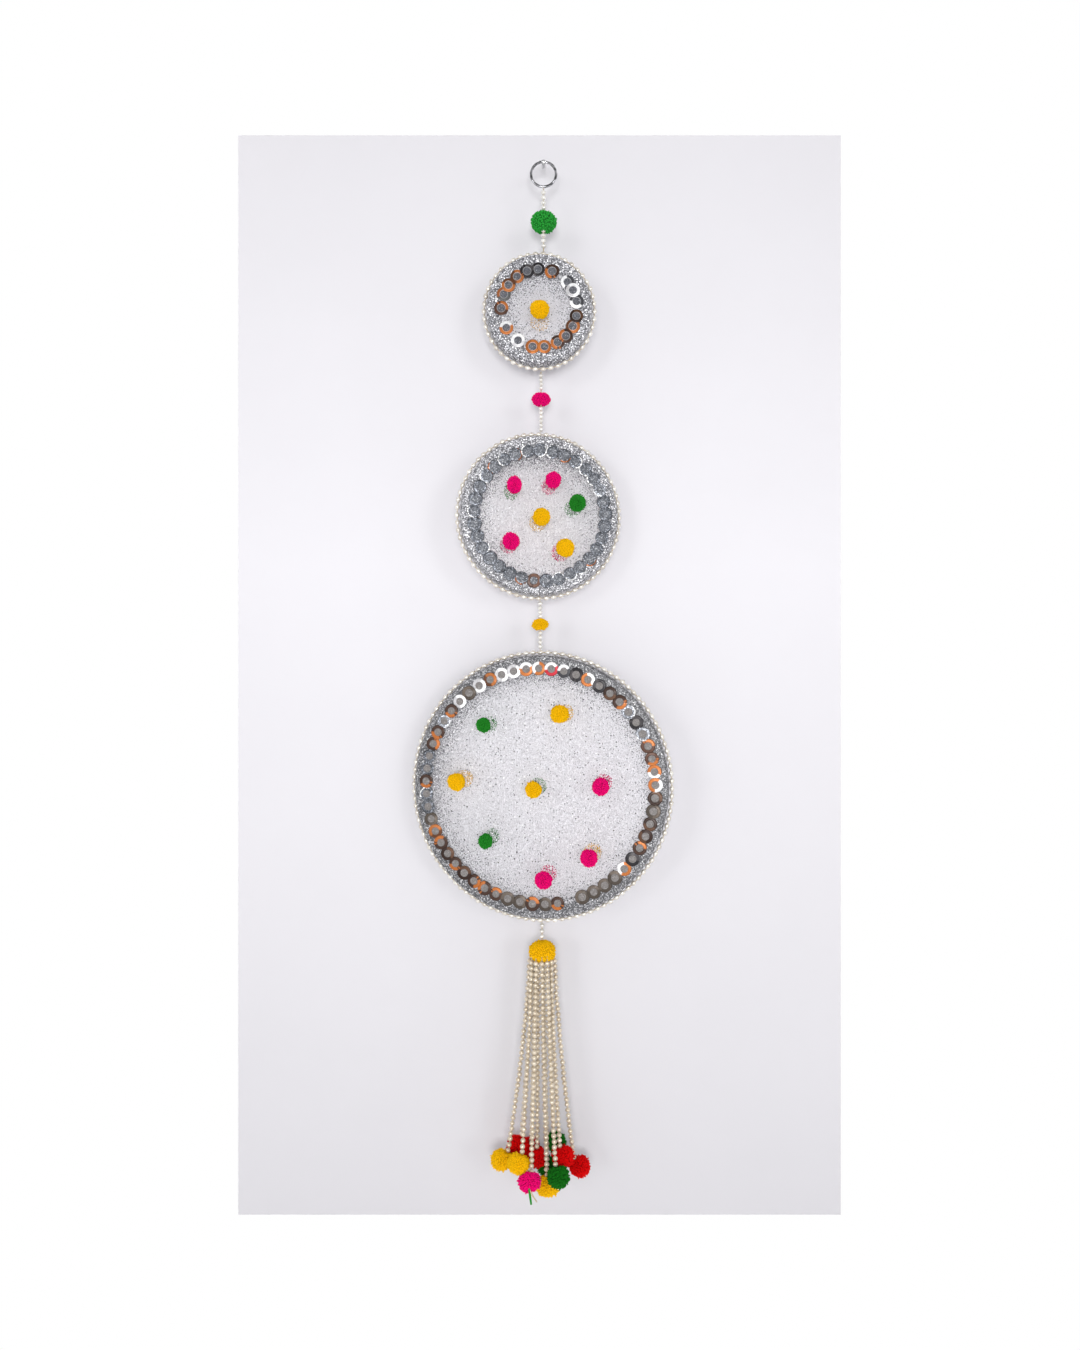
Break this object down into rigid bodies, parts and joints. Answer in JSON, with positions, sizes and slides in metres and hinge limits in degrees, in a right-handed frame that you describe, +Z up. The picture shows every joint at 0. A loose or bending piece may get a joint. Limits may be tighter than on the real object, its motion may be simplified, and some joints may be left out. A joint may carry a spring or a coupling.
{
  "type": "latkan tassel wall hanging with wall hook",
  "caption": "Hanging with round net-covered discs one under another on bead strings, yarn pompoms sewn on and threaded between, and a pearl strand tassel at the bottom, on a plain wall hook.",
  "frame": {"origin": "centre of the wall hook's flat end on the wall", "axes": "+Z up; the wall is the plane y = 0 and +Y points into it, so the front of the hanging faces -Y; +X is to the right as seen from the front"},
  "size_m": [0.2312, 0.0706, 0.9244],
  "materials": {
    "hook_metal": "satin",
    "chrome": "polished",
    "pearl": "pearl gloss",
    "silver_wrap": "silver glitter net wrap",
    "glitter_net": "sheer with glitter specks",
    "foil_spangle": "metallic foil",
    "green_yarn": "cut yarn pile",
    "pink_yarn": "cut yarn pile",
    "yellow_yarn": "cut yarn pile",
    "red_yarn": "cut yarn pile"
  },
  "bodies": {
    "root": {"wall_hook": "hook_metal", "hanging_ring": "chrome", "top_bead_string": "pearl", "top_string_pompom": "green_yarn", "small_hoop": "silver_wrap", "small_front_net": "glitter_net", "small_back_net": "glitter_net", "small_pearl_edging": "pearl", "small_spangle_row": "foil_spangle", "small_front_pompom_1": "yellow_yarn", "small_back_pompom_1": "yellow_yarn", "upper_bead_string": "pearl", "upper_string_pompom": "pink_yarn", "medium_hoop": "silver_wrap", "medium_front_net": "glitter_net", "medium_back_net": "glitter_net", "medium_pearl_edging": "pearl", "medium_spangle_row": "foil_spangle", "medium_front_pompom_1": "pink_yarn", "medium_front_pompom_2": "pink_yarn", "medium_front_pompom_3": "green_yarn", "medium_front_pompom_4": "yellow_yarn", "medium_front_pompom_5": "pink_yarn", "medium_front_pompom_6": "yellow_yarn", "medium_back_pompom_1": "green_yarn", "medium_back_pompom_2": "pink_yarn", "medium_back_pompom_3": "green_yarn", "medium_back_pompom_4": "yellow_yarn", "medium_back_pompom_5": "pink_yarn", "medium_back_pompom_6": "pink_yarn", "lower_bead_string": "pearl", "lower_string_pompom": "yellow_yarn", "large_hoop": "silver_wrap", "large_front_net": "glitter_net", "large_back_net": "glitter_net", "large_pearl_edging": "pearl", "large_spangle_row": "foil_spangle", "large_front_pompom_1": "green_yarn", "large_front_pompom_2": "yellow_yarn", "large_front_pompom_3": "yellow_yarn", "large_front_pompom_4": "yellow_yarn", "large_front_pompom_5": "pink_yarn", "large_front_pompom_6": "green_yarn", "large_front_pompom_7": "pink_yarn", "large_front_pompom_8": "pink_yarn", "large_back_pompom_1": "green_yarn", "large_back_pompom_2": "yellow_yarn", "large_back_pompom_3": "yellow_yarn", "large_back_pompom_4": "green_yarn", "large_back_pompom_5": "pink_yarn", "large_back_pompom_6": "green_yarn", "large_back_pompom_7": "yellow_yarn", "large_back_pompom_8": "pink_yarn", "tassel_bead_string": "pearl", "tassel": "pearl"}
  },
  "joints": []
}
